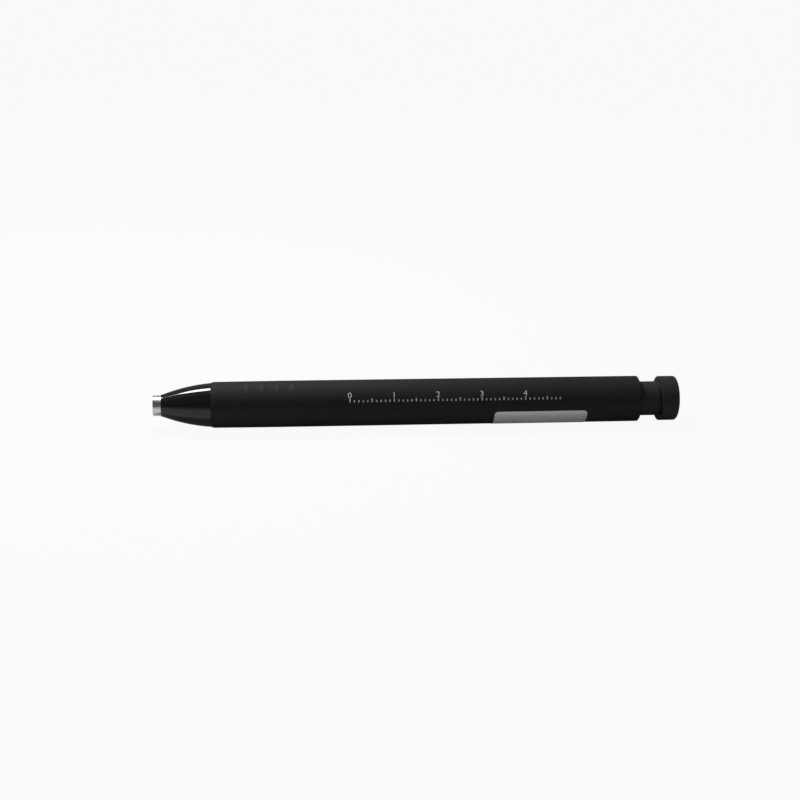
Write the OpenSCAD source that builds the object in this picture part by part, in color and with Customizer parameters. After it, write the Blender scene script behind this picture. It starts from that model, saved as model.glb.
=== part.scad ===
/* [Overall] */
// Length from the mouth of the tip pipe to the end of the knock cap
overall_len = 120; // [118:1:126]
// Diameter of the barrel
barrel_d = 10.5; // [10.5:0.1:11]
// How far the knock cap travels when it is pressed
knock_travel = 4; // [3.4:0.1:4.2]

/* [Tip pipe] */
// Outer diameter of the metal pipe that guides the eraser
pipe_d = 4.6; // [4.5:0.05:4.7]
// Bore of the pipe
pipe_bore_d = 4; // [3.9:0.05:4.1]
// Length of pipe that stands out of the nose
pipe_show = 1.8; // [1.4:0.1:2.2]

/* [Nose] */
// Visible length of the nose cone
nose_show = 11.1; // [10.8:0.1:11.6]
// Diameter of the cone where it meets the barrel
nose_rear_d = 9.94; // [9.8:0.02:10.1]
// Radius of the cone's curved side
ogive_r = 40; // [38:1:44]
// Slope of the cone's side where it meets the barrel, in degrees
ogive_slope = 4.8; // [4.4:0.1:5.2]
// Length of the screwed spigot inside the barrel
spigot_len = 6.45; // [6.3:0.05:6.6]

/* [Eraser] */
// Diameter of the eraser stick
eraser_d = 3.8; // [3.7:0.05:3.8]
// Length of a fresh stick
eraser_len = 88; // [60:1:95]
// How far the stick's face sits inside the pipe at rest
eraser_recess = 0.5; // [0.2:0.1:1]

/* [Chuck and clutch] */
// Number of jaws on the chuck
jaw_count = 3; // [2:1:4]
// Width of the slots between the jaws
jaw_slot = 0.5; // [0.4:0.05:0.6]
// Diameter over the closed jaws
head_d = 5.8; // [5.7:0.05:5.9]
// Diameter of the chuck's stem
stem_d = 5; // [4.9:0.05:5]
// Number of gripping teeth in the jaws
tooth_count = 4; // [3:1:4]
// Outer diameter of the clutch ring
ring_d = 6.7; // [6.6:0.05:6.7]
// Length of the clutch ring
ring_len = 2.5; // [2.3:0.1:2.5]
// How far the ring travels before it meets its stop
ring_play = 1.5; // [1.2:0.1:1.5]

/* [Return spring] */
// Turns of the return spring
spring_turns = 9; // [7:1:10]
// Wire diameter of the spring
spring_wire_d = 0.4; // [0.35:0.05:0.4]
// Diameter of the coil at the middle of its wire
spring_mean_d = 5.9; // [5.85:0.05:5.95]

/* [Barrel] */
// Bore of the barrel behind the mechanism
barrel_bore_d = 8; // [7.98:0.01:8.04]
// Diameter of the barrel's front edge
barrel_front_d = 10.34; // [10.26:0.02:10.4]
// Diameter of the grip at its first rib
grip_d = 10.44; // [10.4:0.01:10.48]
// Length over which the grip swells to the full diameter
grip_taper_len = 15; // [13:1:18]
// Number of finger ribs on the grip
rib_count = 4; // [2:1:6]
// Distance from the barrel's front edge to the first rib
rib_first = 8; // [7:0.1:9]
// Distance from one rib to the next
rib_pitch = 3.42; // [3:0.01:3.8]
// Height of a rib over the barrel
rib_height = 0.1; // [0.08:0.01:0.2]
// Roundness of a rib across its width
rib_round = 1.5; // [1.2:0.1:1.6]
// Place of the ribs round the barrel, in degrees up from the front
rib_up = 66; // [40:1:90]

/* [Knock] */
// Diameter of the neck under the cap
neck_d = 7.88; // [7.84:0.01:7.88]
// Length of neck that shows at rest
neck_show = 5.05; // [4.8:0.05:5.3]
// Diameter of the cap
cap_d = 10.25; // [10:0.05:10.4]
// Length of the cap
cap_len = 3.95; // [3.9:0.05:4.6]
// Rounding of the cap's end
cap_round = 0.6; // [0.3:0.05:0.8]

/* [Label] */
// Length of the label along the barrel
label_len = 21.5; // [18:0.1:24]
// Distance from the barrel's front edge to the label
label_start = 63.9; // [60:0.1:70]
// Thickness of the label
label_thick = 0.06; // [0.04:0.01:0.08]
// Upper edge of the label, in degrees up from the front
label_top = -7; // [-12:0.1:0]
// Lower edge of the label behind the pen, in degrees up from the front
label_low = -120; // [-130:1:-105]
// Corner radius of the label
label_corner = 0.9; // [0.5:0.1:1]

/* [Hidden] */

// Stations are distances along the pen from the mouth of the tip pipe
seam_gap = 0.05;
seat_gap = 0.05;
fit_gap = 0.08;
press_gap = 0.01;
over = 0.2;
fine = 96;
arc_fine = 240;

nose_rear = pipe_show + nose_show;
spigot_rear = nose_rear + spigot_len;
barrel_front = nose_rear + seam_gap;
cap_front = overall_len - cap_len;
barrel_rear = cap_front - neck_show;

// Nose and what it holds
pipe_seat = 7;
pipe_flange_len = 0.8;
pipe_flange_d = 5.5;
chamber_d = 5.7;
brake_len = 2.3;
brake_front = pipe_seat + pipe_flange_len + seat_gap;
chamber_rear = brake_front + brake_len + seat_gap;
knock_clear = 0.2;
chuck_front = chamber_rear + knock_travel + knock_clear;
jaw_clear = 0.25;
lip_round = 0.2;
lip_len = 0.4;
spigot_d = 8.4;
socket_d = spigot_d + 0.1;
relief_len = 0.8;
relief_d = 7.8;

// Mechanism
sleeve_front = spigot_rear - 0.95;
ring_front = sleeve_front - ring_len;
ring_stop = ring_front - ring_play;
ring_bore_d = ring_d + 2 * fit_gap;
sleeve_flange_len = 1.5;
sleeve_flange_front = spigot_rear + seat_gap;
shoulder = sleeve_flange_front + sleeve_flange_len;
sleeve_wall_len = 1.5;
sleeve_rear = sleeve_front + 15.5;
sleeve_d = 7.4;
sleeve_bore_d = 6.6;
head_land = 1;
head_cone_len = 2.4;
jaw_slot_end = chuck_front + 12.6;
spring_rings = 8;
spring_sides = 6;
tube_front = sleeve_front + 14;
tube_socket_len = 4.5;
tube_d = 5.5;
tube_bore_d = 4.4;
tube_collar_d = 6.4;
tube_collar_len = 1.5;
tube_rear = cap_front - 3.65;
stem_rear = tube_front + tube_socket_len - 0.1;
stem_bore_d = 4.1;

// Turn of the barrel's revolve, so that its seam is beside the line it lies on
seam_turn = 3.5;

// Knock
neck_front = barrel_rear - 13.9;
neck_rear = cap_front + 2.75;
edge_round = 0.25;

// Turns a piece from its own axis into the pen's place: tip towards -X, lying with the label's film on Z = 0
module along_pen() {
    translate([-overall_len / 2, 0, barrel_d / 2 + label_thick])
        rotate([0, 90, 0])
            children();
}

// Turns what points along its own +X to a height round the pen, in degrees up from the front
module facing(up) {
    rotate([0, 0, -90 - up])
        children();
}

// A straight hole or rod between two stations
module rod(d, from, to) {
    translate([0, 0, from])
        cylinder(d = d, h = to - from, $fn = fine);
}

// Half outline of a rod, for revolved pieces
module half_rod(d, from, to) {
    translate([0, from])
        square([d / 2, to - from]);
}

// What a rounded edge takes off a half outline
// Its faces is 1 for an edge that looks to the rear and -1 for one that looks to the front
module edge_off(d, station, round_r, faces) {
    base = faces > 0 ? station - round_r : station - over;
    difference() {
        translate([d / 2 - round_r, base])
            square([round_r + over, round_r + over]);
        translate([d / 2 - round_r, station - faces * round_r])
            circle(round_r, $fn = fine);
    }
}

// Half outline of the cone's curved side
module ogive() {
    centre_s = nose_rear + ogive_r * sin(ogive_slope);
    centre_r = nose_rear_d / 2 - ogive_r * cos(ogive_slope);
    lip_r = pipe_d / 2 + press_gap + lip_round;
    intersection() {
        translate([centre_r, centre_s])
            circle(ogive_r, $fn = arc_fine);
        half_rod(nose_rear_d + 1, pipe_show + lip_round, nose_rear);
    }
    half_rod(2 * lip_r, pipe_show + lip_round, pipe_show + lip_len);
    translate([lip_r - lip_round, pipe_show + lip_round])
        circle(lip_round, $fn = fine);
    half_rod(2 * (lip_r - lip_round), pipe_show, pipe_show + lip_len);
}

module nose_cone() {
    color([0.05, 0.05, 0.055])
    along_pen()
    difference() {
        rotate_extrude($fn = fine)
            difference() {
                union() {
                    difference() {
                        ogive();
                        edge_off(nose_rear_d, nose_rear, edge_round, 1);
                    }
                    half_rod(relief_d, nose_rear - 1, nose_rear + relief_len + seat_gap);
                    half_rod(spigot_d, nose_rear + relief_len, spigot_rear);
                }
                edge_off(spigot_d, spigot_rear, edge_round, 1);
            }
        rod(pipe_d + 2 * press_gap, pipe_show - over, pipe_seat + over);
        rod(chamber_d, pipe_seat, chamber_rear);
        rod(head_d + 2 * jaw_clear, chamber_rear, ring_stop);
        rod(ring_bore_d, ring_stop, spigot_rear + over);
    }
}

module tip_pipe() {
    mouth_round = 0.12;
    color([0.72, 0.72, 0.7])
    along_pen()
    difference() {
        rotate_extrude($fn = fine)
            difference() {
                union() {
                    half_rod(pipe_d, 0, pipe_seat + pipe_flange_len);
                    half_rod(pipe_flange_d, pipe_seat, pipe_seat + pipe_flange_len);
                }
                edge_off(pipe_d, 0, mouth_round, -1);
            }
        rod(pipe_bore_d, -over, pipe_seat + pipe_flange_len + over);
    }
}

module eraser_brake() {
    brake_d = chamber_d - 0.04;
    color([0.3, 0.3, 0.31])
    along_pen()
    difference() {
        rotate_extrude($fn = fine)
            difference() {
                half_rod(brake_d, brake_front, brake_front + brake_len);
                edge_off(brake_d, brake_front + brake_len, edge_round, 1);
            }
        rod(eraser_d + 0.04, brake_front - over, brake_front + brake_len + over);
    }
}

// Half outline of the clutch ring's bore: a cone that closes the jaws, then room for the stem
module ring_bore_outline() {
    slope = (head_d - stem_d) / 2 / head_cone_len;
    seat_clear = 0.03;
    stem_clear = 0.06;
    cone_start = chuck_front + head_land;
    front_r = head_d / 2 - slope * (ring_front - cone_start) + seat_clear;
    rear_r = stem_d / 2 + stem_clear;
    cone_end = ring_front + (front_r - rear_r) / slope;
    polygon([
        [0, ring_front - over],
        [front_r + slope * over, ring_front - over],
        [rear_r, cone_end],
        [rear_r, ring_front + ring_len + over],
        [0, ring_front + ring_len + over]
    ]);
}

module clutch_ring() {
    color([0.8, 0.66, 0.34])
    along_pen()
    rotate_extrude($fn = fine)
        difference() {
            half_rod(ring_d, ring_front, ring_front + ring_len);
            ring_bore_outline();
            edge_off(ring_d, ring_front, edge_round, -1);
            edge_off(ring_d, ring_front + ring_len, edge_round, 1);
        }
}

// Half outline of the bore of the jaws, with ridges that bite the eraser
module jaw_bore_outline() {
    tooth_pitch = 0.6;
    tooth_tip_r = eraser_d / 2 + 0.03;
    tooth_root_r = tooth_tip_r + 0.15;
    difference() {
        half_rod(2 * tooth_root_r, chuck_front - over, chuck_front + tooth_count * tooth_pitch + over);
        for (i = [0:tooth_count - 1])
            translate([0, chuck_front + over + i * tooth_pitch])
                polygon([
                    [tooth_tip_r, tooth_pitch / 2],
                    [tooth_root_r + over, 0],
                    [tooth_root_r + over, tooth_pitch * 0.8]
                ]);
    }
}

module chuck() {
    cone_start = chuck_front + head_land;
    front_bevel = 0.3;
    relief_hole_d = 0.9;
    color([0.83, 0.7, 0.4])
    along_pen()
    difference() {
        rotate_extrude($fn = fine)
            difference() {
                polygon([
                    [0, chuck_front],
                    [head_d / 2 - front_bevel, chuck_front],
                    [head_d / 2, chuck_front + front_bevel],
                    [head_d / 2, cone_start],
                    [stem_d / 2, cone_start + head_cone_len],
                    [stem_d / 2, stem_rear],
                    [0, stem_rear]
                ]);
                jaw_bore_outline();
            }
        rod(stem_bore_d, chuck_front + tooth_count * 0.6 + over, stem_rear + over);
        for (i = [0:jaw_count - 1])
            rotate([0, 0, i * 360 / jaw_count]) {
                translate([0, -jaw_slot / 2, chuck_front - over])
                    cube([head_d, jaw_slot, jaw_slot_end - chuck_front + over]);
                translate([0, 0, jaw_slot_end])
                    rotate([0, 90, 0])
                        cylinder(d = relief_hole_d, h = head_d, $fn = 32);
            }
    }
}

module mechanism_sleeve() {
    flange_d = spigot_d;
    front_d = ring_d;
    color([0.9, 0.9, 0.88])
    along_pen()
    difference() {
        rotate_extrude($fn = fine)
            difference() {
                union() {
                    half_rod(front_d, sleeve_front, shoulder);
                    half_rod(flange_d, sleeve_flange_front, shoulder);
                    half_rod(sleeve_d, sleeve_flange_front, sleeve_rear);
                }
                edge_off(sleeve_d, sleeve_rear, edge_round, 1);
            }
        rod(stem_d + 2 * fit_gap, sleeve_front - over, sleeve_front + sleeve_wall_len + over);
        rod(sleeve_bore_d, sleeve_front + sleeve_wall_len, sleeve_rear + over);
    }
}

// Points on the middle of the spring's wire
spring_from = sleeve_front + sleeve_wall_len + spring_wire_d / 2 + 0.02;
spring_to = tube_front - spring_wire_d / 2 - 0.02;
spring_steps = spring_turns * spring_rings;
function spring_point(i) = [
    spring_mean_d / 2 * cos(360 * i / spring_rings),
    spring_mean_d / 2 * sin(360 * i / spring_rings),
    spring_from + (spring_to - spring_from) * i / spring_steps
];

// One ring of points round the wire
function wire_ring(i) =
    let (
        turn = 360 * i / spring_rings,
        out = [cos(turn), sin(turn), 0],
        rise = (spring_to - spring_from) / spring_turns,
        run = PI * spring_mean_d,
        along = [-sin(turn) * run, cos(turn) * run, rise] / norm([run, rise]),
        side = cross(along, out)
    )
    [for (k = [0:spring_sides - 1])
        let (round_wire = 360 * k / spring_sides)
        spring_point(i) + spring_wire_d / 2 * (out * cos(round_wire) + side * sin(round_wire))];

module return_spring() {
    points = [for (i = [0:spring_steps]) each wire_ring(i)];
    last = spring_steps * spring_sides;
    sides = [for (i = [0:spring_steps - 1], k = [0:spring_sides - 1])
        let (
            a = i * spring_sides + k,
            b = i * spring_sides + (k + 1) % spring_sides
        )
        each [[a, b, b + spring_sides], [a, b + spring_sides, a + spring_sides]]];
    front_cap = [for (k = [1:spring_sides - 2]) [0, k + 1, k]];
    rear_cap = [for (k = [1:spring_sides - 2]) [last, last + k, last + k + 1]];
    color([0.7, 0.71, 0.73])
    along_pen()
    polyhedron(points = points, faces = concat(sides, front_cap, rear_cap), convexity = 10);
}

// Least gap between one turn of the wire and the next, measured on its points
turn_gaps = [for (i = [0:spring_steps - spring_rings])
    norm(spring_point(i + spring_rings) - spring_point(i))];
echo(spring_least_gap = min(turn_gaps) - spring_wire_d);

module eraser_tube() {
    color([0.86, 0.87, 0.86])
    along_pen()
    difference() {
        rotate_extrude($fn = fine)
            difference() {
                union() {
                    half_rod(tube_d, tube_front, tube_rear);
                    half_rod(tube_collar_d, tube_front, tube_front + tube_collar_len);
                }
                edge_off(tube_d, tube_rear, edge_round, 1);
            }
        rod(stem_d + 2 * press_gap, tube_front - over, tube_front + tube_socket_len);
        rod(tube_bore_d, tube_front, tube_rear + over);
    }
}

module knock_sleeve() {
    mouth_d = 4.6;
    color([0.1, 0.1, 0.11])
    along_pen()
    difference() {
        rotate_extrude($fn = fine)
            difference() {
                half_rod(neck_d, neck_front, neck_rear);
                edge_off(neck_d, neck_front, edge_round, -1);
                edge_off(neck_d, neck_rear, edge_round, 1);
            }
        rod(tube_d + 2 * press_gap, neck_front - over, tube_rear);
        rod(mouth_d, tube_rear - over, neck_rear + over);
    }
}

module knock_cap() {
    color([0.11, 0.11, 0.12])
    along_pen()
    difference() {
        rotate_extrude($fn = fine)
            difference() {
                half_rod(cap_d, cap_front, overall_len);
                edge_off(cap_d, cap_front, edge_round, -1);
                edge_off(cap_d, overall_len, cap_round, 1);
            }
        rod(neck_d + 2 * press_gap, cap_front - over, neck_rear + seat_gap);
    }
}

module eraser_stick() {
    bevel = 0.15;
    front = eraser_recess;
    rear = eraser_recess + eraser_len;
    color([0.96, 0.96, 0.95])
    along_pen()
    rotate_extrude($fn = fine)
        polygon([
            [0, front],
            [eraser_d / 2 - bevel, front],
            [eraser_d / 2, front + bevel],
            [eraser_d / 2, rear - bevel],
            [eraser_d / 2 - bevel, rear],
            [0, rear]
        ]);
}

// Low ribs for the fingers: tori set off the axis, so each rises from the barrel and fades at its ends
module finger_ribs() {
    ring_r = barrel_d / 2 - 1.4;
    for (i = [0:rib_count - 1])
        facing(rib_up)
            translate([barrel_d / 2 + rib_height - ring_r, 0, barrel_front + rib_first + i * rib_pitch])
                rotate_extrude($fn = fine)
                    translate([ring_r - rib_round, 0])
                        circle(rib_round, $fn = fine);
}

module barrel() {
    front_round = 0.5;
    rear_bevel = 0.2;
    color([0.12, 0.12, 0.13])
    along_pen()
    difference() {
        union() {
            rotate([0, 0, seam_turn])
                rotate_extrude($fn = fine)
                    difference() {
                        polygon([
                            [0, barrel_front],
                            [barrel_front_d / 2, barrel_front],
                            [grip_d / 2, barrel_front + rib_first],
                            [barrel_d / 2, barrel_front + grip_taper_len],
                            [barrel_d / 2, barrel_rear],
                            [0, barrel_rear]
                        ]);
                        edge_off(barrel_front_d, barrel_front, front_round, -1);
                        edge_off(barrel_d, barrel_rear, edge_round, 1);
                    }
            finger_ribs();
        }
        rod(socket_d, barrel_front - over, shoulder);
        rod(barrel_bore_d, barrel_front, barrel_rear + over);
        translate([0, 0, barrel_rear - rear_bevel])
            cylinder(
                d1 = barrel_bore_d,
                d2 = barrel_bore_d + 2 * (rear_bevel + over),
                h = rear_bevel + over,
                $fn = fine
            );
    }
}

// Flat outline of the label with round corners
module label_outline(length, width) {
    square([length, width - 2 * label_corner], center = true);
    square([length - 2 * label_corner, width], center = true);
    for (x = [-1, 1], y = [-1, 1])
        translate([x * (length / 2 - label_corner), y * (width / 2 - label_corner)])
            circle(label_corner, $fn = 48);
}

module barrel_label() {
    middle = barrel_front + label_start + label_len / 2;
    half_span = (label_top - label_low) / 2;
    chord = barrel_d * sin(half_span);
    color([0.68, 0.68, 0.68])
    along_pen()
    intersection() {
        facing(90)
            difference() {
                rod(barrel_d + 2 * label_thick, middle - label_len, middle + label_len);
                rod(barrel_d, middle - label_len - over, middle + label_len + over);
            }
        facing(label_low + half_span)
            translate([0, 0, middle])
                rotate([0, 90, 0])
                    linear_extrude(barrel_d)
                        label_outline(label_len, chord);
    }
}

barrel();
barrel_label();
mechanism_sleeve();
nose_cone();
tip_pipe();
eraser_brake();
clutch_ring();
chuck();
return_spring();
eraser_tube();
knock_sleeve();
knock_cap();
eraser_stick();
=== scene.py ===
import math

import bmesh
import bpy
from mathutils import Matrix, Vector


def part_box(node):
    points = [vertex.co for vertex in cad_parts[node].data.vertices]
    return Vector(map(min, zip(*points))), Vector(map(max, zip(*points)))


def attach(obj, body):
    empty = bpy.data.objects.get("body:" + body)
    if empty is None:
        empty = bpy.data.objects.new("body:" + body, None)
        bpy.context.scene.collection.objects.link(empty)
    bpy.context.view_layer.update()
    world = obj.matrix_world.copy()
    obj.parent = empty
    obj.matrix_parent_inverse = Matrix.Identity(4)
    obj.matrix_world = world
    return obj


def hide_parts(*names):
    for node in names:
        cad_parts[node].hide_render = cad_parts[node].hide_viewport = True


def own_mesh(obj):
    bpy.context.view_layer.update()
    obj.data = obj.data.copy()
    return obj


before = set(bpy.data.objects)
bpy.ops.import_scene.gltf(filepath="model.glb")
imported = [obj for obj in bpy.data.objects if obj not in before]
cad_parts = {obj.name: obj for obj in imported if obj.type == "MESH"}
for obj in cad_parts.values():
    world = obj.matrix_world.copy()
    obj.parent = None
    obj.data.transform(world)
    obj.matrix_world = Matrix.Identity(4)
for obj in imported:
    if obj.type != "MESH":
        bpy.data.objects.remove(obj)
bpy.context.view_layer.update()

print("frame loaded:", len(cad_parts), "CAD nodes")

mm = 0.001
around = math.tau

# Places that come from the frame: the pen lies along X, its tip towards -X
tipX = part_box("tip_pipe")[0][0]
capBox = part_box("knock_cap")
axisZ = (capBox[0][2] + capBox[1][2]) / 2
axisPoint = Vector((0, 0, axisZ))


def frontOf(node):
    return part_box(node)[0][0]


def rearOf(node):
    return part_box(node)[1][0]


def radiusOf(node):
    low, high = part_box(node)
    return (high[1] - low[1]) / 2


def station(distance):
    # the X of a place that is so many millimetres behind the tip pipe's mouth
    return tipX + distance * mm


# Meshes

meshLook = {
    "weld": 0.0005 * mm,         # points closer than this are merged
    "cutTolerance": 0.00001 * mm,
    "sharpAngle": 35,            # degrees, past which an edge stays crisp
    "faceWeight": 90,
    "turnSteps": 160,
    "roundSegments": 5,          # in each rounded corner of an outline
}


def finishMesh(mesh, name, sharpAngle=meshLook["sharpAngle"]):
    # turns a bmesh into a smooth-shaded object at the origin
    bmesh.ops.remove_doubles(mesh, verts=mesh.verts, dist=meshLook["weld"])
    bmesh.ops.recalc_face_normals(mesh, faces=mesh.faces)
    data = bpy.data.meshes.new(name)
    mesh.to_mesh(data)
    mesh.free()
    data.shade_smooth()
    data.set_sharp_from_angle(angle=math.radians(sharpAngle))
    piece = bpy.data.objects.new(name, data)
    bpy.context.scene.collection.objects.link(piece)
    weighted = piece.modifiers.new("weighted_normals", "WEIGHTED_NORMAL")
    weighted.keep_sharp = True
    weighted.weight = meshLook["faceWeight"]
    return piece


def roundCorners(mesh, verts, offset, segments):
    bmesh.ops.bevel(mesh, geom=verts, offset=offset, affect="VERTICES", segments=segments,
                    profile=0.5, material=-1)


def drawOutline(mesh, corners, closed, segments):
    # a half outline in the XZ plane; each corner is (x, radius, rounding), and a rounding of 0 stays sharp
    verts = [mesh.verts.new((x, 0, radius)) for x, radius, _ in corners]
    pairs = list(zip(verts, verts[1:] + verts[:1]))
    for pair in pairs if closed else pairs[:-1]:
        mesh.edges.new(pair)
    for vert, (_, _, rounding) in zip(verts, corners):
        if rounding:
            roundCorners(mesh, [vert], rounding, segments)


def turnOutline(mesh, steps):
    # spins the outline round the pen's axis and closes it
    bmesh.ops.spin(mesh, geom=mesh.verts[:] + mesh.edges[:], cent=(0, 0, 0), axis=(1, 0, 0),
                   angle=around, steps=steps, use_merge=True)
    bmesh.ops.translate(mesh, verts=mesh.verts, vec=axisPoint)


def turned(name, corners, steps=meshLook["turnSteps"], closed=True, segments=meshLook["roundSegments"],
           reshape=None):
    # a turned piece from its half outline; reshape is called with each of its points
    mesh = bmesh.new()
    drawOutline(mesh, corners, closed, segments)
    turnOutline(mesh, steps)
    if reshape:
        for vert in mesh.verts:
            reshape(vert)
    return finishMesh(mesh, name)


def polar(vert):
    # radius and angle round the pen, with 0 at the front and a quarter turn at the top
    side, up = -vert.co.y, vert.co.z - axisZ
    return math.hypot(side, up), math.atan2(up, side)


def setRadius(vert, radius):
    angle = polar(vert)[1]
    vert.co.y = -radius * math.cos(angle)
    vert.co.z = axisZ + radius * math.sin(angle)


def stretch(start, end, spacing):
    # places between two ends, no further apart than the spacing
    count = max(1, math.ceil(abs(end - start) / spacing))
    return [start + (end - start) * i / count for i in range(1, count)]


def clamp(value):
    return min(max(value, 0), 1)


# Materials

class Signal:
    # a socket that can stand in a sum, so that 1 - mask or noise * 0.2 adds its own Math node
    def __init__(self, finish, socket):
        self.finish = finish
        self.socket = socket

    def combine(self, operation, first, second):
        return self.finish.node("Math", {"operation": operation}, {0: first, 1: second})

    def __add__(self, other):
        return self.combine("ADD", self, other)

    def __radd__(self, other):
        return self.combine("ADD", other, self)

    def __sub__(self, other):
        return self.combine("SUBTRACT", self, other)

    def __rsub__(self, other):
        return self.combine("SUBTRACT", other, self)

    def __mul__(self, other):
        return self.combine("MULTIPLY", self, other)

    def __rmul__(self, other):
        return self.combine("MULTIPLY", other, self)


class Finish:
    # one material and the nodes that make it
    def __init__(self, name, **constants):
        self.material = bpy.data.materials.new(name)
        self.material.use_nodes = True
        self.tree = self.material.node_tree
        self.shader = next(n for n in self.tree.nodes if n.type == "BSDF_PRINCIPLED")
        self.set(**constants)

    def node(self, kind, settings=None, inputs=None, output=0):
        # any node: its settings come first, then the values or links of its sockets
        made = self.tree.nodes.new("ShaderNode" + kind)
        for key, value in (settings or {}).items():
            setattr(made, key, value)
        for key, value in (inputs or {}).items():
            self.put(made.inputs[key], value)
        return Signal(self, made.outputs[output])

    def put(self, socket, value):
        if isinstance(value, Signal):
            self.tree.links.new(value.socket, socket)
        else:
            socket.default_value = value

    def set(self, **inputs):
        # Base_Color stands for the socket Base Color, and so on
        for socket, value in inputs.items():
            self.put(self.shader.inputs[socket.replace("_", " ")], value)

    def show(self, shader):
        output = next(n for n in self.tree.nodes if n.type == "OUTPUT_MATERIAL")
        self.put(output.inputs["Surface"], shader)

    def place(self, scale=(1, 1, 1)):
        # a place on the piece, measured from the pen's axis
        point = self.node("TexCoord", output="Object")
        centred = self.node("Mapping", inputs={"Vector": point, "Location": (0, 0, -axisZ)})
        return self.node("VectorMath", {"operation": "MULTIPLY"}, {0: centred, 1: scale})

    def noise(self, perMetre, detail, roughness=0.5, scale=(1, 1, 1)):
        inputs = {"Vector": self.place(scale), "Scale": perMetre, "Detail": detail, "Roughness": roughness}
        return self.node("TexNoise", inputs=inputs)

    def band(self, value, low, high):
        # 0 below low, 1 above high, and a smooth step between
        return self.node("MapRange", {"interpolation_type": "SMOOTHSTEP"}, {0: value, 1: low, 2: high})

    def mixColour(self, share, first, second):
        # a Mix node has its two colours on sockets 6 and 7, and gives its colour on the third output
        return self.node("Mix", {"data_type": "RGBA"}, {0: share, 6: first, 7: second}, output=2)

    def bump(self, height, strength, depth):
        return self.node("Bump", inputs={"Height": height, "Strength": strength, "Distance": depth})


def sway(pattern, amount):
    # a pattern from 0 to 1 becomes a change of half the amount either way
    return (pattern - 0.5) * amount


def grey(level, tint=(1, 1, 1)):
    return (level * tint[0], level * tint[1], level * tint[2], 1)


def coat(piece, material):
    piece.data.materials.clear()
    piece.data.materials.append(material)


softTouch = {
    "dark": 0.033,               # grey levels between which the surface clouds
    "pale": 0.043,
    "worn": 0.053,               # on the tops of the ribs, paler as rubbed wear and as a painted highlight
    "tint": (1.0, 0.985, 1.05),
    "sheen": 0.055,
    "rough": 0.62,
    "grainPerMetre": 9000,
}
# the barrel's soft-touch black made paler for the neck and cap: painted light standing in for more light on
# the knock
knockTouchPaintedLight = {
    "dark": 0.05,
    "pale": 0.063,
    "worn": 0.072,
    "tint": (1.0, 0.985, 1.05),
    "sheen": 0.07,
    "rough": 0.6,
    "grainPerMetre": 8000,
}
touchMarks = {
    "cloudColour": 0.7,          # shares of the clouds and the finger marks in the grey level
    "marksColour": 0.3,
    "cloudRough": 0.12,          # how far each one changes the roughness
    "marksRough": 0.05,
    "grainRough": 0.06,
    "wornRough": 0.08,
    "grainDepth": 0.01 * mm,
}


def makeSoftBlack(name, look):
    # soft-touch matt black: very fine grain, cloudy sheen, a few finger marks, and paler on the rib tops, as
    # rubbed wear and as a painted highlight
    shared = touchMarks
    finish = Finish(name, IOR=1.5, Specular_IOR_Level=look["sheen"])
    cloud = finish.noise(perMetre=160, detail=4, roughness=0.6)
    smear = finish.noise(perMetre=70, detail=3, roughness=0.55, scale=(0.45, 1, 1))
    marks = finish.band(smear, low=0.54, high=0.72)
    grain = finish.noise(perMetre=look["grainPerMetre"], detail=2)
    # the attribute read here is 1 on the rib tops, where the colour turns paler: partly rubbed wear, partly a
    # painted highlight
    worn = finish.node("Attribute", {"attribute_name": "wear_and_highlight"}, output=2)
    clouded = cloud * shared["cloudColour"] + marks * shared["marksColour"]
    plain = finish.mixColour(clouded, grey(look["dark"], look["tint"]), grey(look["pale"], look["tint"]))
    finish.set(Base_Color=finish.mixColour(worn, plain, grey(look["worn"], look["tint"])))
    rough = look["rough"] + sway(cloud, shared["cloudRough"]) - marks * shared["marksRough"]
    finish.set(Roughness=rough + sway(grain, shared["grainRough"]) - worn * shared["wornRough"])
    finish.set(Normal=finish.bump(grain, strength=0.35, depth=shared["grainDepth"]))
    return finish.material


glossy = {
    "colour": 0.0118,
    "dust": 0.042,
    "rough": 0.035,
    "scuffRough": 0.05,
    "dustRough": 0.3,
    "rippleDepth": 0.004 * mm,
}


def makeGlossBlack():
    # polished moulded black: hairline scuffs along it, specks of dust, and a faint ripple
    look = glossy
    finish = Finish("gloss_black", IOR=1.58)
    hairs = finish.noise(perMetre=2600, detail=3, roughness=0.7, scale=(0.06, 1, 1))
    scuffs = finish.band(hairs, low=0.62, high=0.75)
    ripple = finish.noise(perMetre=320, detail=1)
    dust = finish.band(finish.noise(perMetre=5200, detail=1), low=0.74, high=0.8)
    finish.set(Base_Color=finish.mixColour(dust, grey(look["colour"]), grey(look["dust"])))
    finish.set(Roughness=look["rough"] + scuffs * look["scuffRough"] + dust * look["dustRough"])
    finish.set(Normal=finish.bump(ripple, strength=0.25, depth=look["rippleDepth"]))
    return finish.material


bright = {
    "colour": (0.88, 0.875, 0.845, 1),
    "shade": (0.76, 0.755, 0.73, 1),
    "shadeShare": 0.6,
    "rough": 0.26,
    "ringRough": 0.1,
    "shadeRough": 0.08,
    "ringDepth": 0.003 * mm,
}


def makeBrightMetal():
    # plated tube, turned: fine rings round it that widen the glints, and duller patches
    look = bright
    finish = Finish("bright_metal", Metallic=1.0)
    rings = finish.noise(perMetre=9000, detail=3, roughness=0.65, scale=(1, 0.02, 0.02))
    dull = finish.band(finish.noise(perMetre=900, detail=3), low=0.52, high=0.75)
    finish.set(Base_Color=finish.mixColour(dull * look["shadeShare"], look["colour"], look["shade"]))
    finish.set(Roughness=look["rough"] + sway(rings, look["ringRough"]) + dull * look["shadeRough"])
    finish.set(Normal=finish.bump(rings, strength=0.2, depth=look["ringDepth"]))
    return finish.material


film = {
    "colour": (0.94, 0.94, 0.94, 1),
    "shade": (0.84, 0.84, 0.842, 1),
    "metallic": 0.35,
    "rough": 0.36,
    "rolledRough": 0.12,
    "cloudRough": 0.08,
    "rolledDepth": 0.004 * mm,
}


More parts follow.
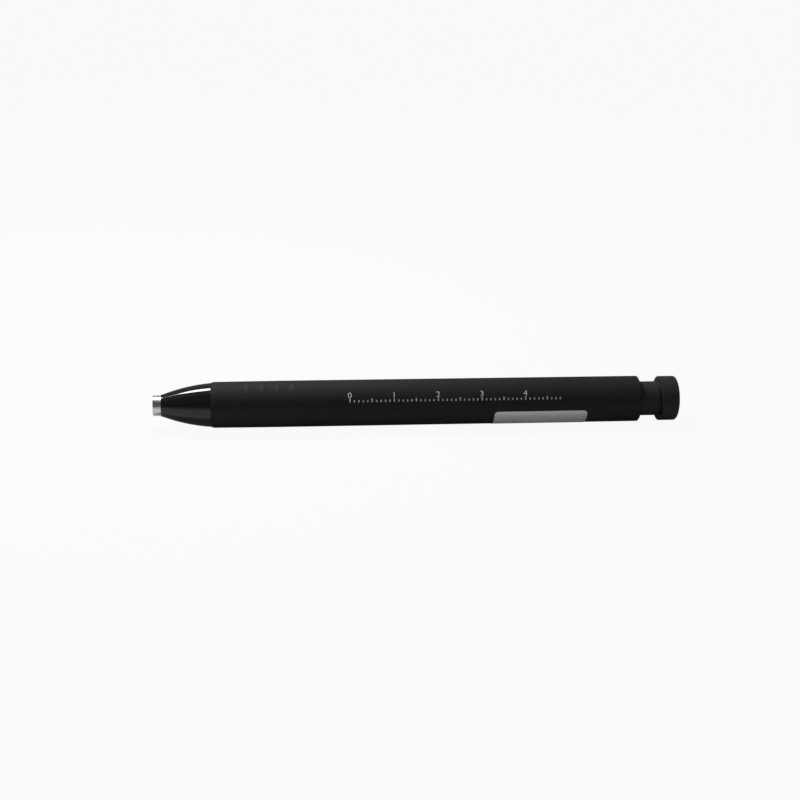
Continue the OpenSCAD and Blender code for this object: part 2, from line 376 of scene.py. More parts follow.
def makeSilverLabel():
    # satin silver film: faint rolling lines along it, and a little cloudiness
    look = film
    finish = Finish("silver_label", Metallic=look["metallic"], IOR=1.45)
    rolled = finish.noise(perMetre=3200, detail=3, roughness=0.6, scale=(0.05, 1, 1))
    cloud = finish.noise(perMetre=260, detail=3)
    finish.set(Base_Color=finish.mixColour(cloud, look["shade"], look["colour"]))
    finish.set(Roughness=look["rough"] + sway(rolled, look["rolledRough"]) + sway(cloud, look["cloudRough"]))
    finish.set(Normal=finish.bump(rolled, strength=0.2, depth=look["rolledDepth"]))
    return finish.material


foil = {
    "colour": (0.95, 0.95, 0.95, 1),
    "worn": (0.84, 0.84, 0.84, 1),
    "metallic": 0.1,
    "rough": 0.42,
    "grainRough": 0.2,
    "grainDepth": 0.004 * mm,
}


def makeSilverInk():
    # silver print, worn thin in places
    look = foil
    finish = Finish("silver_ink", Metallic=look["metallic"], IOR=1.45)
    worn = finish.band(finish.noise(perMetre=700, detail=4, roughness=0.7), low=0.5, high=0.72)
    grain = finish.noise(perMetre=12000, detail=1)
    finish.set(Base_Color=finish.mixColour(worn, look["colour"], look["worn"]))
    finish.set(Roughness=look["rough"] + sway(grain, look["grainRough"]))
    finish.set(Normal=finish.bump(grain, strength=0.2, depth=look["grainDepth"]))
    return finish.material


vinyl = {
    "shade": (0.80, 0.80, 0.78, 1),
    "colour": (0.87, 0.87, 0.855, 1),
    "rough": 0.62,
    "powderRough": 0.16,
    "powderDepth": 0.012 * mm,
    "lightDepth": 1 * mm,        # how far light gets into it
}


def makeEraserWhite():
    # soft white vinyl: faint cloudiness, powdery surface
    look = vinyl
    finish = Finish("eraser_white", IOR=1.46, Subsurface_Weight=0.15, Subsurface_Scale=look["lightDepth"])
    cloud = finish.noise(perMetre=500, detail=4, roughness=0.6)
    powder = finish.noise(perMetre=7000, detail=2)
    finish.set(Base_Color=finish.mixColour(cloud, look["shade"], look["colour"]))
    finish.set(Roughness=look["rough"] + sway(powder, look["powderRough"]))
    finish.set(Normal=finish.bump(powder, strength=0.3, depth=look["powderDepth"]))
    return finish.material


turnedBrass = {
    "colour": (0.72, 0.54, 0.27, 1),
    "tarnish": (0.52, 0.36, 0.17, 1),
    "rough": 0.24,
    "ringRough": 0.12,
    "tarnishRough": 0.1,
    "ringDepth": 0.005 * mm,
}


def makeBrass():
    # turned brass: tool rings and a little tarnish
    look = turnedBrass
    finish = Finish("turned_brass", Metallic=1.0)
    rings = finish.noise(perMetre=8000, detail=3, roughness=0.7, scale=(1, 0.03, 0.03))
    tarnish = finish.band(finish.noise(perMetre=600, detail=4), low=0.48, high=0.72)
    finish.set(Base_Color=finish.mixColour(tarnish, look["colour"], look["tarnish"]))
    finish.set(Roughness=look["rough"] + sway(rings, look["ringRough"]) + tarnish * look["tarnishRough"])
    finish.set(Normal=finish.bump(rings, strength=0.25, depth=look["ringDepth"]))
    return finish.material


mouldedWhite = {
    "shade": (0.76, 0.76, 0.74, 1),
    "colour": (0.82, 0.82, 0.80, 1),
    "rough": 0.38,
    "grainRough": 0.12,
    "grainDepth": 0.006 * mm,
    "lightDepth": 1 * mm,
}


def makeAcetal():
    # moulded white acetal: even, slightly waxy, with fine mould grain
    look = mouldedWhite
    finish = Finish("white_acetal", IOR=1.48, Subsurface_Weight=0.1, Subsurface_Scale=look["lightDepth"])
    grain = finish.noise(perMetre=5000, detail=2)
    flow = finish.noise(perMetre=300, detail=2, scale=(0.3, 1, 1))
    finish.set(Base_Color=finish.mixColour(flow, look["shade"], look["colour"]))
    finish.set(Roughness=look["rough"] + sway(grain, look["grainRough"]))
    finish.set(Normal=finish.bump(grain, strength=0.2, depth=look["grainDepth"]))
    return finish.material


dullRubber = {
    "colour": (0.028, 0.028, 0.03, 1),
    "dust": (0.09, 0.09, 0.09, 1),
    "rough": 0.74,
    "grainRough": 0.15,
    "grainDepth": 0.012 * mm,
}


def makeRubber():
    # dark brake rubber: dull and a little dusty
    look = dullRubber
    finish = Finish("brake_rubber", IOR=1.5)
    dust = finish.band(finish.noise(perMetre=1200, detail=4), low=0.5, high=0.8)
    grain = finish.noise(perMetre=6000, detail=2)
    finish.set(Base_Color=finish.mixColour(dust, look["colour"], look["dust"]))
    finish.set(Roughness=look["rough"] + sway(grain, look["grainRough"]))
    finish.set(Normal=finish.bump(grain, strength=0.4, depth=look["grainDepth"]))
    return finish.material


drawnWire = {
    "colour": (0.6, 0.61, 0.63, 1),
    "stain": (0.42, 0.41, 0.4, 1),
    "rough": 0.2,
    "drawnRough": 0.14,
    "stainRough": 0.1,
    "drawnDepth": 0.004 * mm,
}


def makeSpringSteel():
    # drawn wire: bright, finely uneven, and stained in places
    look = drawnWire
    finish = Finish("spring_steel", Metallic=1.0)
    drawn = finish.noise(perMetre=4200, detail=3)
    stain = finish.band(finish.noise(perMetre=800, detail=3), low=0.5, high=0.75)
    finish.set(Base_Color=finish.mixColour(stain, look["colour"], look["stain"]))
    finish.set(Roughness=look["rough"] + sway(drawn, look["drawnRough"]) + stain * look["stainRough"])
    finish.set(Normal=finish.bump(drawn, strength=0.2, depth=look["drawnDepth"]))
    return finish.material


milkyPlastic = {
    "shade": (0.74, 0.76, 0.76, 1),
    "colour": (0.82, 0.84, 0.84, 1),
    "clear": 0.55,               # share of the light that goes through
    "rough": 0.28,
    "grainRough": 0.1,
    "hazeRough": 0.08,
    "grainDepth": 0.005 * mm,
}


def makeClearTube():
    # milky natural plastic that lets some light through
    look = milkyPlastic
    finish = Finish("clear_tube", IOR=1.46, Transmission_Weight=look["clear"])
    haze = finish.noise(perMetre=400, detail=3, scale=(0.2, 1, 1))
    grain = finish.noise(perMetre=5000, detail=2)
    finish.set(Base_Color=finish.mixColour(haze, look["shade"], look["colour"]))
    finish.set(Roughness=look["rough"] + sway(grain, look["grainRough"]) + sway(haze, look["hazeRough"]))
    finish.set(Normal=finish.bump(grain, strength=0.15, depth=look["grainDepth"]))
    return finish.material


softBlack = makeSoftBlack("soft_touch_black", softTouch)
# a paler copy of the barrel's black, as painted light on the neck and cap
knockBlackPaintedLight = makeSoftBlack("soft_touch_knock_painted_light", knockTouchPaintedLight)
glossBlack = makeGlossBlack()
brightMetal = makeBrightMetal()
silverLabel = makeSilverLabel()
silverInk = makeSilverInk()
eraserWhite = makeEraserWhite()
brass = makeBrass()
acetal = makeAcetal()
rubber = makeRubber()
springSteel = makeSpringSteel()
clearTube = makeClearTube()
print("materials ready:", len(bpy.data.materials))


# Barrel

barrelLook = {
    "forward": 0.035 * mm,       # closes up the seam with the cone
    "edgeRadius": 4.92 * mm,     # the front edge starts here, level with the cone
    "edgeLength": 0.9 * mm,      # and reaches the full front radius as one soft arc
    "edgeSteps": 8,
    "edgeRound": 0.02 * mm,
    "socketRound": 0.1 * mm,
    "rearRound": 0.25 * mm,
    "mouthBevel": 0.2 * mm,
    "mouthRound": 0.05 * mm,
    "frontRadius": 5.17 * mm,
    "gripRadius": 5.22 * mm,     # at the first rib
    "gripAt": 8.0 * mm,          # from the front edge to the first rib
    "gripStep": 0.09 * mm,       # distance between the rings of points along the ribs
    "gripMargin": 0.5 * mm,      # how far those rings run on past the last rib
    "taperLength": 15.0 * mm,
    "socketRadius": 4.25 * mm,
    "socketDepth": 7.95 * mm,
    "boreRadius": 4.0 * mm,
    "wall": 0.5 * mm,            # points this far outside the socket are on the skin
    "ribCount": 4,
    "ribPitch": 3.42 * mm,
    "ribRound": 1.5 * mm,
    "ribRing": 3.85 * mm,        # radius of the ring whose top is the rib
    "ribHeight": 0.1 * mm,
    "ribUp": math.radians(66),   # up from the front
    "ribBlend": 0.06 * mm,
    "turnSteps": 216,
}


def ribRadius(x, angle, front, fullRadius):
    # how far the nearest rib stands from the axis at a place on the grip
    look = barrelLook
    offset = fullRadius + look["ribHeight"] - look["ribRing"]
    turn = angle - look["ribUp"]
    inside = look["ribRing"] ** 2 - (offset * math.sin(turn)) ** 2
    top = offset * math.cos(turn) + math.sqrt(inside)
    first = front + look["gripAt"]
    nearest = min(max(round((x - first) / look["ribPitch"]), 0), look["ribCount"] - 1)
    away = abs(x - first - nearest * look["ribPitch"])
    if away >= look["ribRound"]:
        return 0
    return top - look["ribRound"] + math.sqrt(look["ribRound"] ** 2 - away ** 2)


def softMax(first, second, blend):
    # the greater of two numbers, with the meeting line rounded off
    share = max(blend - abs(first - second), 0) / blend
    return max(first, second) + share * share * blend / 4


def buildBarrel():
    look = barrelLook
    front, rear, full = frontOf("barrel"), rearOf("barrel"), radiusOf("barrel")
    lip = front - look["forward"]
    edgeEnd = lip + look["edgeLength"]
    socketEnd = front + look["socketDepth"]
    firstRib = front + look["gripAt"]
    swell = front + look["taperLength"]
    gripStart = firstRib - look["ribRound"]
    gripEnd = firstRib + (look["ribCount"] - 1) * look["ribPitch"] + look["ribRound"] + look["gripMargin"]
    rise = look["frontRadius"] - look["edgeRadius"]
    arc = (look["edgeLength"] ** 2 + rise ** 2) / (2 * rise)

    def edgeOutline(x):
        return look["frontRadius"] - arc + math.sqrt(arc ** 2 - (edgeEnd - x) ** 2)

    def gripOutline(x):
        if x < firstRib:
            share = (x - front) / (firstRib - front)
            return look["frontRadius"] + (look["gripRadius"] - look["frontRadius"]) * share
        share = min((x - firstRib) / (swell - firstRib), 1)
        return look["gripRadius"] + (full - look["gripRadius"]) * share

    edgePlaces = stretch(lip, edgeEnd, look["edgeLength"] / look["edgeSteps"]) + [edgeEnd]
    gripPlaces = [gripStart] + stretch(gripStart, gripEnd, look["gripStep"]) + [gripEnd]
    corners = [
        (lip, look["socketRadius"], look["socketRound"]),
        (lip, look["edgeRadius"], look["edgeRound"]),
    ]
    corners += [(x, edgeOutline(x), 0) for x in edgePlaces]
    corners += [(x, gripOutline(x), 0) for x in gripPlaces]
    corners += [
        (rear, full, look["rearRound"]),
        (rear, look["boreRadius"] + look["mouthBevel"], look["mouthRound"]),
        (rear - look["mouthBevel"], look["boreRadius"], 0),
        (socketEnd, look["boreRadius"], 0),
        (socketEnd, look["socketRadius"], 0),
    ]

    def onGrip(vert):
        return polar(vert)[0] > look["socketRadius"] + look["wall"] and gripStart < vert.co.x < gripEnd

    def raiseRib(vert):
        if onGrip(vert):
            radius, angle = polar(vert)
            rib = ribRadius(vert.co.x, angle, front, full)
            setRadius(vert, softMax(radius, rib, look["ribBlend"]))

    piece = turned("barrel_body", corners, steps=look["turnSteps"], reshape=raiseRib)
    # marks the rib tops, which the black material paints paler: partly rubbed wear, partly a painted
    # highlight
    wear_and_highlight = piece.data.attributes.new("wear_and_highlight", "FLOAT", "POINT")
    for vert, share in zip(piece.data.vertices, wear_and_highlight.data):
        if onGrip(vert):
            raised = polar(vert)[0] - gripOutline(vert.co.x)
            share.value = clamp(raised / look["ribHeight"])
    coat(piece, softBlack)
    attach(piece, "barrel")
    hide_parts("barrel")


buildBarrel()
print("barrel ready")


# Nose cone, with a thread on its spigot

noseLook = {
    "sideRadius": 40 * mm,       # the curved side is an arc
    "sideSteps": 46,
    "rearSlope": math.radians(4.8),
    "rearRound": 0.03 * mm,
    "lipRound": 0.2 * mm,
    "lipRadius": 2.51 * mm,
    "lipLength": 0.4 * mm,
    "showLength": 11.1 * mm,     # the part in front of the barrel
    "reliefRadius": 3.9 * mm,
    "reliefLength": 0.85 * mm,
    "spigotRound": 0.25 * mm,
    "pipeBore": 2.31 * mm,
    "pipeSeat": 5.2 * mm,        # from the front of the cone to the pipe's shoulder
    "chamberRadius": 2.85 * mm,
    "chamberEnd": 8.4 * mm,
    "jawRadius": 3.15 * mm,
    "jawEnd": 12.6 * mm,
    "ringRadius": 3.43 * mm,
    "ringRound": 0.08 * mm,
    "turnSteps": 180,
}
threadLook = {
    "radius": 4.2 * mm,
    "root": 3.88 * mm,
    "pitch": 1.0 * mm,
    "length": 4.6 * mm,
    "after": 0.5 * mm,           # plain stretch between the relief and the thread
    "step": 0.045 * mm,
    "runIn": 0.2 * mm,
    "runInRise": 0.1 * mm,
    "runOut": 0.15 * mm,
    "runOutRound": 0.1 * mm,
    "fadeIn": 0.5 * mm,
    "fadeOut": 0.3 * mm,
    "rootShare": 0.2,            # shares of the wave's height in the root and on the flanks
    "flankShare": 0.6,
    "margin": 0.01 * mm,
    "wall": 0.1 * mm,            # points this far outside the ring's bore are on the skin
}


def threadShare(x, angle, start):
    # 1 on the crest of a rounded right-hand thread and 0 in its root
    screw = threadLook
    phase = (x - start) / screw["pitch"] - angle / around
    wave = 0.5 + 0.5 * math.cos(around * phase)
    return clamp((wave - screw["rootShare"]) / screw["flankShare"])


def buildNose():
    look, screw = noseLook, threadLook
    front, rear, coneRadius = frontOf("nose_cone"), rearOf("nose_cone"), radiusOf("nose_cone")
    coneRear = front + look["showLength"]
    reliefEnd = coneRear + look["reliefLength"]
    lipEnd = front + look["lipLength"]
    centreX = coneRear + look["sideRadius"] * math.sin(look["rearSlope"])
    centreR = coneRadius - look["sideRadius"] * math.cos(look["rearSlope"])

    def sideOutline(x):
        return centreR + math.sqrt(look["sideRadius"] ** 2 - (x - centreX) ** 2)

    threadFrom = reliefEnd + screw["after"]
    threadTo = threadFrom + screw["length"]
    sidePlaces = [lipEnd] + stretch(lipEnd, coneRear, (coneRear - lipEnd) / look["sideSteps"])
    threadPlaces = [threadFrom] + stretch(threadFrom, threadTo, screw["step"]) + [threadTo]
    corners = [
        (front, look["pipeBore"], 0),
        (front, look["lipRadius"], look["lipRound"]),
    ]
    corners += [(x, sideOutline(x), 0) for x in sidePlaces]
    corners += [
        (coneRear, coneRadius, look["rearRound"]),
        (coneRear, look["reliefRadius"], 0),
        (reliefEnd, look["reliefRadius"], 0),
        (threadFrom - screw["runIn"], screw["root"] + screw["runInRise"], 0),
    ]
    corners += [(x, screw["root"], 0) for x in threadPlaces]
    corners += [
        (threadTo + screw["runOut"], screw["radius"], screw["runOutRound"]),
        (rear, screw["radius"], look["spigotRound"]),
        (rear, look["ringRadius"], look["ringRound"]),
        (front + look["jawEnd"], look["ringRadius"], 0),
        (front + look["jawEnd"], look["jawRadius"], 0),
        (front + look["chamberEnd"], look["jawRadius"], 0),
        (front + look["chamberEnd"], look["chamberRadius"], 0),
        (front + look["pipeSeat"], look["chamberRadius"], 0),
        (front + look["pipeSeat"], look["pipeBore"], 0),
    ]

    def cutThread(vert):
        radius, angle = polar(vert)
        onThread = threadFrom - screw["margin"] <= vert.co.x <= threadTo + screw["margin"]
        if onThread and radius > look["ringRadius"] + screw["wall"]:
            fadeIn = (vert.co.x - threadFrom) / screw["fadeIn"]
            fadeOut = (threadTo - vert.co.x) / screw["fadeOut"]
            rise = threadShare(vert.co.x, angle, threadFrom) * clamp(min(fadeIn, fadeOut))
            setRadius(vert, screw["root"] + (screw["radius"] - screw["root"]) * rise)

    piece = turned("nose_cone_body", corners, steps=look["turnSteps"], reshape=cutThread)
    coat(piece, glossBlack)
    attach(piece, "nose")
    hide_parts("nose_cone")


buildNose()
print("nose ready")


# Tip pipe

pipeLook = {
    "mouthRound": 0.12 * mm,
    "innerRound": 0.07 * mm,
    "outerRadius": 2.3 * mm,
    "boreRadius": 2.0 * mm,
    "flangeLength": 0.8 * mm,
    "flangeRound": 0.05 * mm,
    "turnSteps": 144,
}


def buildPipe():
    look = pipeLook
    front, rear, flangeRadius = frontOf("tip_pipe"), rearOf("tip_pipe"), radiusOf("tip_pipe")
    flange = rear - look["flangeLength"]
    corners = [
        (front, look["boreRadius"], look["innerRound"]),
        (front, look["outerRadius"], look["mouthRound"]),
        (flange, look["outerRadius"], 0),
        (flange, flangeRadius, look["flangeRound"]),
        (rear, flangeRadius, look["flangeRound"]),
        (rear, look["boreRadius"], look["flangeRound"]),
    ]
    piece = turned("tip_pipe_body", corners, steps=look["turnSteps"])
    coat(piece, brightMetal)
    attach(piece, "nose")
    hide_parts("tip_pipe")


buildPipe()
print("pipe ready")


# Eraser stick

eraserLook = {
    "edgeRound": 0.18 * mm,
    "crown": 0.05 * mm,          # the front face is domed by this much
    "faceRise": 0.005 * mm,      # of which this much lies in the flat middle
    "faceShare": 0.4,            # how much of the radius the flat middle takes
    "shoulder": 0.09 * mm,       # from the side in to where the dome ends
    "shoulderRound": 0.108 * mm,
    "turnSteps": 96,
}


def buildEraser():
    look = eraserLook
    front, rear, radius = frontOf("eraser_stick"), rearOf("eraser_stick"), radiusOf("eraser_stick")
    shoulder = front + look["crown"]
    corners = [
        (front, 0, 0),
        (front + look["faceRise"], radius * look["faceShare"], 0),
        (shoulder, radius - look["shoulder"], look["shoulderRound"]),
        (shoulder + look["edgeRound"], radius, look["edgeRound"]),
        (rear, radius, look["edgeRound"]),
        (rear, 0, 0),
    ]
    piece = turned("eraser_stick_body", corners, steps=look["turnSteps"], closed=False)
    coat(piece, eraserWhite)
    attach(piece, "eraser")
    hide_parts("eraser_stick")


buildEraser()
print("eraser ready")


# Knock: neck and cap

neckLook = {
    "edgeRound": 0.25 * mm,
    "tubeRadius": 2.76 * mm,
    "tubeSeat": 15.3 * mm,
    "mouthRadius": 2.3 * mm,
    "mouthRound": 0.1 * mm,
    "seamWidth": 0.35 * mm,      # a shadow line in front of the cap
    "seamDepth": 0.3 * mm,
    "seamInside": 0.2 * mm,      # how far the line's floor runs on inside the cap
    "seamRound": 0.06 * mm,
}
capLook = {
    "shoulderRound": 0.12 * mm,
    "undercut": 0.25 * mm,       # the front face is dished by this much
    "endRound": 0.45 * mm,
    "boreRadius": 3.95 * mm,
    "boreDepth": 2.8 * mm,
    "boreRound": 0.05 * mm,
    "roundSegments": 8,
}


def buildNeck():
    look = neckLook
    front, rear, radius = frontOf("knock_sleeve"), rearOf("knock_sleeve"), radiusOf("knock_sleeve")
    seamFrom = frontOf("knock_cap") - look["seamWidth"]
    seamTo = frontOf("knock_cap") + look["seamInside"]
    corners = [
        (front, look["tubeRadius"], look["mouthRound"]),
        (front, radius, look["edgeRound"]),
        (seamFrom, radius, look["seamRound"]),
        (seamFrom, radius - look["seamDepth"], 0),
        (seamTo, radius - look["seamDepth"], 0),
        (seamTo, radius, 0),
        (rear, radius, look["edgeRound"]),
        (rear, look["mouthRadius"], look["mouthRound"]),
        (front + look["tubeSeat"], look["mouthRadius"], 0),
        (front + look["tubeSeat"], look["tubeRadius"], 0),
    ]
    piece = turned("knock_neck", corners)
    coat(piece, knockBlackPaintedLight)
    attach(piece, "knock")
    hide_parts("knock_sleeve")


def buildCap():
    look = capLook
    front, rear, radius = frontOf("knock_cap"), rearOf("knock_cap"), radiusOf("knock_cap")
    corners = [
        (rear, 0, 0),
        (rear, radius, look["endRound"]),
        (front, radius, look["shoulderRound"]),
        (front + look["undercut"], look["boreRadius"], look["boreRound"]),
        (front + look["boreDepth"], look["boreRadius"], 0),
        (front + look["boreDepth"], 0, 0),
    ]
    piece = turned("knock_cap_body", corners, closed=False, segments=look["roundSegments"])
    coat(piece, knockBlackPaintedLight)
    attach(piece, "knock")
    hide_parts("knock_cap")


buildNeck()
buildCap()
print("knock ready")


# Return spring

springLook = {
    "wireRadius": 0.2 * mm,
    "meanRadius": 2.95 * mm,
    "turns": 9,
    "stepsPerTurn": 40,
    "sides": 10,
    "sharpAngle": 60,
    "squashShare": 0.68,         # length left when the cap is pressed home
}


def buildSpring():
    look = springLook
    front, rear = frontOf("return_spring"), rearOf("return_spring")
    rise = (rear - front - 2 * look["wireRadius"]) / look["turns"]
    mesh = bmesh.new()
    made = bmesh.ops.create_circle(mesh, cap_ends=True, segments=look["sides"], radius=look["wireRadius"])
    start = Matrix.Translation((front + look["wireRadius"], 0, look["meanRadius"]))
    bmesh.ops.transform(mesh, matrix=start @ Matrix.Rotation(math.radians(90), 4, "X"), verts=made["verts"])
    bmesh.ops.spin(mesh, geom=mesh.verts[:] + mesh.edges[:] + mesh.faces[:], cent=(0, 0, 0), axis=(1, 0, 0),
                   dvec=(rise / look["stepsPerTurn"], 0, 0), angle=around * look["turns"],
                   steps=look["turns"] * look["stepsPerTurn"])
    bmesh.ops.translate(mesh, verts=mesh.verts, vec=axisPoint)
    piece = finishMesh(mesh, "return_spring_wire", look["sharpAngle"])
    coat(piece, springSteel)
    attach(piece, "spring")
    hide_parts("return_spring")
    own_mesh(piece)


buildSpring()
print("spring ready")


# Label, wrapped round the barrel

labelLook = {
    "corner": 0.9 * mm,
    "cornerSteps": 10,
    "thickness": 0.05 * mm,
    "gap": 0.005 * mm,
    "upper": -7.0,               # its edges, in degrees up from the front
    "lower": -120.0,
    "strips": 72,
}


def wrapOnBarrel(mesh, radius):
    # lays a flat XY sheet round the barrel: Y becomes the arc above the front line
    for vert in mesh.verts:
        height = radius + vert.co.z
        angle = vert.co.y / radius
        vert.co = Vector((vert.co.x, -height * math.cos(angle), axisZ + height * math.sin(angle)))


def cutStrips(mesh, lowest, highest, count):
    # cuts a flat sheet along X, so that it can bend round the barrel
    for i in range(1, count):
        y = lowest + (highest - lowest) * i / count
        geometry = mesh.verts[:] + mesh.edges[:] + mesh.faces[:]
        bmesh.ops.bisect_plane(mesh, geom=geometry, plane_co=(0, y, 0), plane_no=(0, 1, 0),
                               dist=meshLook["cutTolerance"])


def thicken(mesh, thickness):
    made = bmesh.ops.extrude_face_region(mesh, geom=mesh.faces[:])
    raised = [v for v in made["geom"] if isinstance(v, bmesh.types.BMVert)]
    bmesh.ops.translate(mesh, verts=raised, vec=(0, 0, thickness))


def buildLabel():
    look = labelLook
    front, rear = frontOf("barrel_label"), rearOf("barrel_label")
    radius = radiusOf("barrel") + look["gap"]
    low, high = math.radians(look["lower"]) * radius, math.radians(look["upper"]) * radius
    mesh = bmesh.new()
    verts = [mesh.verts.new(p) for p in ((front, low, 0), (rear, low, 0), (rear, high, 0), (front, high, 0))]
    mesh.faces.new(verts)
    roundCorners(mesh, verts, look["corner"], look["cornerSteps"])
    cutStrips(mesh, low, high, look["strips"])
    thicken(mesh, look["thickness"])
    wrapOnBarrel(mesh, radius)
    piece = finishMesh(mesh, "barrel_label_film")
    coat(piece, silverLabel)
    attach(piece, "barrel")
    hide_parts("barrel_label")


buildLabel()
print("label ready")


# Plain printed scale on the barrel

scaleLook = {
    "start": 43.9,               # station of its first tick
    "length": 48,                # in millimetres, with a tick for each
    "lowEdge": 23.0,             # degrees up from the front
    "tickWidth": 0.28 * mm,
    "tickStep": 0.2 * mm,        # between the points along a tick
    "short": 0.5 * mm,
    "long": 0.8 * mm,
    "longEvery": 5,
    "digitEvery": 10,
    "digitSize": 1.9 * mm,
    "digitRise": 0.95 * mm,      # from the foot of the ticks to the foot of a digit
    "height": 2.4 * mm,
    "strips": 12,
    "thickness": 0.012 * mm,
    "gap": 0.002 * mm,
}


def addTick(mesh, x, low, height):
    look = scaleLook
    steps = max(2, round(height / look["tickStep"]))
    made = bmesh.ops.create_grid(mesh, x_segments=1, y_segments=steps, size=0.5)
    matrix = Matrix.Translation((x, low + height / 2, 0)) @ Matrix.Diagonal((look["tickWidth"], height, 1, 1))
    bmesh.ops.transform(mesh, matrix=matrix, verts=made["verts"])


def digitMesh(text):
    curve = bpy.data.curves.new("digit", "FONT")
    curve.body = text
    curve.size = 1.0
    curve.align_x = "CENTER"
    holder = bpy.data.objects.new("digit", curve)
    bpy.context.scene.collection.objects.link(holder)
    bpy.context.view_layer.update()
    data = bpy.data.meshes.new_from_object(holder.evaluated_get(bpy.context.evaluated_depsgraph_get()))
    bpy.data.objects.remove(holder)
    bpy.data.curves.remove(curve)
    return data


def addDigit(mesh, text, x, low):
    data = digitMesh(text)
    data.transform(Matrix.Translation((x, low, 0)) @ Matrix.Scale(scaleLook["digitSize"], 4))
    mesh.from_mesh(data)
    bpy.data.meshes.remove(data)


def buildScale():
    look = scaleLook
    radius = radiusOf("barrel") + look["gap"]
    low = math.radians(look["lowEdge"]) * radius
    mesh = bmesh.new()
    for i in range(look["length"] + 1):
        height = look["short"] if i % look["longEvery"] else look["long"]
        addTick(mesh, station(look["start"] + i), low, height)
    for i in range(0, look["length"] + 1, look["digitEvery"]):
        addDigit(mesh, str(i // look["digitEvery"]), station(look["start"] + i), low + look["digitRise"])
    cutStrips(mesh, low, low + look["height"], look["strips"])
    thicken(mesh, look["thickness"])
    wrapOnBarrel(mesh, radius)
    piece = finishMesh(mesh, "printed_scale")
    coat(piece, silverInk)
    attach(piece, "barrel")


buildScale()
print("printed scale ready")


# Inner pieces keep their CAD meshes

for node, material in (
    ("mechanism_sleeve", acetal),
    ("eraser_brake", rubber),
    ("clutch_ring", brass),
    ("chuck", brass),
    ("eraser_tube", clearTube),
):
    coat(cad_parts[node], material)
print("inner pieces ready")


# Floor, world, lamp and camera

studio = {
    "floorSize": 6.0,
    "floorColour": 0.6,
    "whiteShare": 0.94,          # how much of the floor's light is plain white for the camera
    "glossyWhite": 0.09,         # how much of that share is left in reflections
    "fill": 0.216,               # how bright the surroundings are
    "mirrored": 0.158,           # how bright the surroundings look in reflections
    "boxRadiance": 19.4,
    "boxDistance": 0.2,
    "boxUp": 112.0,              # degrees from the front, over the top
    "boxFrom": -0.102,           # ends of the softbox along X
    "boxTo": -0.023,
    "boxDepth": 0.054,
    "wingOutline": ((-0.102, 0.027), (-0.122, 0.02), (-0.142, 0.004), (-0.16, 0.0012), (-0.27, 0.0008)),
    "screenRadius": 0.9,
    "screenHalf": 1.6,           # half its length
    "screenTop": 92.0,           # the dark screen ends here, in degrees from the front
    "screenSteps": 48,
    "screenEdge": 0.96,          # its upper edge starts at this share of its height
    "screenDim": 0.072,          # how bright it is low down
    "screenBright": 0.216,       # at its upper edge
    "screenGlow": 0.288,         # and where it meets the floor
    "glowHeight": 0.2,
}


def seenRays(finish, shares):
    # the share given for each kind of ray, and 0 for the rest
    total = 0.0
    for ray, share in shares.items():
        seen = finish.node("LightPath", output=ray) * share
        total = finish.node("Math", {"operation": "MAXIMUM"}, {0: seen, 1: total})
    return total


def placeStage(mesh, name, material):
    # an object of the studio, which isn't part of the pen
    data = bpy.data.meshes.new(name)
    mesh.to_mesh(data)
    mesh.free()
    piece = bpy.data.objects.new(name, data)
    bpy.context.scene.collection.objects.link(piece)
    coat(piece, material)
    return piece


class WorldFinish(Finish):
    # the world's nodes, built in the same way
    def __init__(self, world):
        self.tree = world.node_tree
        self.shader = self.tree.nodes["Background"]


def buildWorld():
    look = studio
    world = bpy.data.worlds.new("studio")
    bpy.context.scene.world = world
    world.use_nodes = True
    finish = WorldFinish(world)
    white = seenRays(finish, {"Is Camera Ray": 1.0, "Is Transmission Ray": 1.0})
    mirrored = seenRays(finish, {"Is Glossy Ray": 1.0})
    dim = look["fill"] + mirrored * (look["mirrored"] - look["fill"])
    finish.set(Color=(1, 1, 1, 1), Strength=dim + white * (1.0 - dim))


def buildFloor():
    look = studio
    mesh = bmesh.new()
    bmesh.ops.create_grid(mesh, x_segments=2, y_segments=2, size=look["floorSize"] / 2)
    finish = Finish("floor_white", Roughness=0.9, Specular_IOR_Level=0.1)
    finish.set(Base_Color=grey(look["floorColour"]))
    rays = {"Is Camera Ray": 1.0, "Is Transmission Ray": 1.0, "Is Glossy Ray": look["glossyWhite"]}
    white = seenRays(finish, rays) * look["whiteShare"]
    lit = Signal(finish, finish.shader.outputs[0])
    finish.show(finish.node("MixShader", inputs={0: white, 1: lit, 2: finish.node("Emission")}))
    placeStage(mesh, "floor", finish.material)


def buildScreen():
    # dark screen curved over the front of the pen, out of the camera's sight, brighter towards the softbox
    look = studio
    mesh = bmesh.new()
    radius = look["screenRadius"]
    ends = [mesh.verts.new((x, -radius, 0)) for x in (-look["screenHalf"], look["screenHalf"])]
    mesh.edges.new(ends)
    bmesh.ops.spin(mesh, geom=mesh.verts[:] + mesh.edges[:], cent=(0, 0, 0), axis=(1, 0, 0),
                   angle=-math.radians(look["screenTop"]), steps=look["screenSteps"])
    finish = Finish("screen_dark")
    height = finish.node("SeparateXYZ", inputs={"Vector": finish.place()}, output="Z")
    top = finish.band(height, radius * look["screenEdge"], radius)
    foot = 1 - finish.band(height, 0, look["glowHeight"])
    dim = look["screenDim"]
    level = dim + top * (look["screenBright"] - dim) + foot * (look["screenGlow"] - dim)
    finish.show(finish.node("Emission", inputs={"Strength": level}))
    placeStage(mesh, "screen", finish.material).visible_camera = False


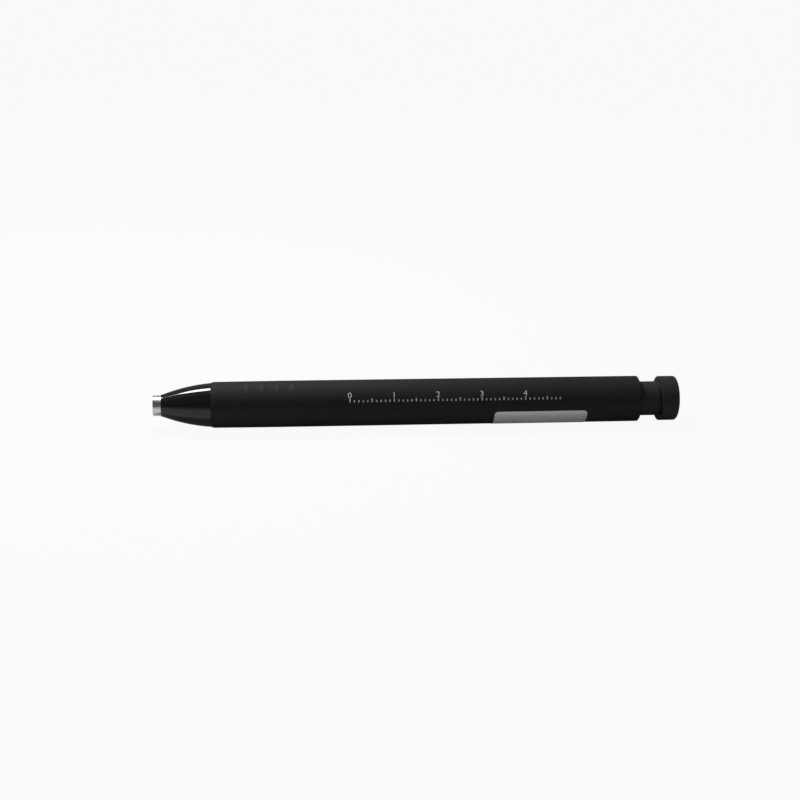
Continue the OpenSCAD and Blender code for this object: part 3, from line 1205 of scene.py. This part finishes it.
def buildSoftbox():
    # an area lamp along the pen, and a lit wing that carries it on past the tip and narrows; the wing's
    # outline is places along X with half its width there
    look = studio
    tilt = Matrix.Rotation(math.radians(90 - look["boxUp"]), 4, "X")
    hang = Matrix.Translation(axisPoint) @ tilt @ Matrix.Translation((0, 0, look["boxDistance"]))
    data = bpy.data.lights.new("softbox", "AREA")
    data.shape = "RECTANGLE"
    data.size = look["boxTo"] - look["boxFrom"]
    data.size_y = look["boxDepth"]
    data.energy = look["boxRadiance"] * math.pi * data.size * data.size_y
    lamp = bpy.data.objects.new("softbox", data)
    lamp.matrix_world = hang @ Matrix.Translation(((look["boxTo"] + look["boxFrom"]) / 2, 0, 0))
    lamp.visible_camera = False
    bpy.context.scene.collection.objects.link(lamp)

    mesh = bmesh.new()
    outline = look["wingOutline"] + tuple((x, -half) for x, half in reversed(look["wingOutline"]))
    mesh.faces.new([mesh.verts.new((x, half, 0)) for x, half in outline])
    bmesh.ops.transform(mesh, matrix=hang, verts=mesh.verts)
    finish = Finish("softbox_light")
    finish.show(finish.node("Emission", inputs={"Strength": look["boxRadiance"]}))
    placeStage(mesh, "softbox_wing", finish.material).visible_camera = False


cameraLook = {
    "lens": 69.75,
    "sensor": 36.0,
    "azimuth": 7.01,             # the camera stands a little to the tip's side
    "elevation": 22.0,
    "distance": 0.3537,
    "roll": 1.76,
    "aimX": -4.25 * mm,
    "lift": 0.46 * mm,           # aims just above the axis, as the photograph is framed
    "nearest": 0.01,
    "furthest": 20,
}


def buildCamera():
    look = cameraLook
    data = bpy.data.cameras.new("camera")
    data.lens = look["lens"]
    data.sensor_width = look["sensor"]
    data.clip_start = look["nearest"]
    data.clip_end = look["furthest"]
    camera = bpy.data.objects.new("camera", data)
    azimuth, elevation = math.radians(look["azimuth"]), math.radians(look["elevation"])
    level = math.cos(elevation)
    back = Vector((-math.sin(azimuth) * level, -math.cos(azimuth) * level, math.sin(elevation)))
    facing = back.to_track_quat("Z", "Y")
    up = facing @ Vector((0, 1, 0))
    camera.location = Vector((look["aimX"], 0, axisZ)) + up * look["lift"] + back * look["distance"]
    turn = facing.to_matrix().to_4x4() @ Matrix.Rotation(math.radians(look["roll"]), 4, "Z")
    camera.rotation_euler = turn.to_euler()
    bpy.context.scene.collection.objects.link(camera)
    bpy.context.scene.camera = camera


buildWorld()
buildFloor()
buildScreen()
buildSoftbox()
buildCamera()
bpy.context.scene.view_settings.view_transform = "Standard"
print("studio ready")
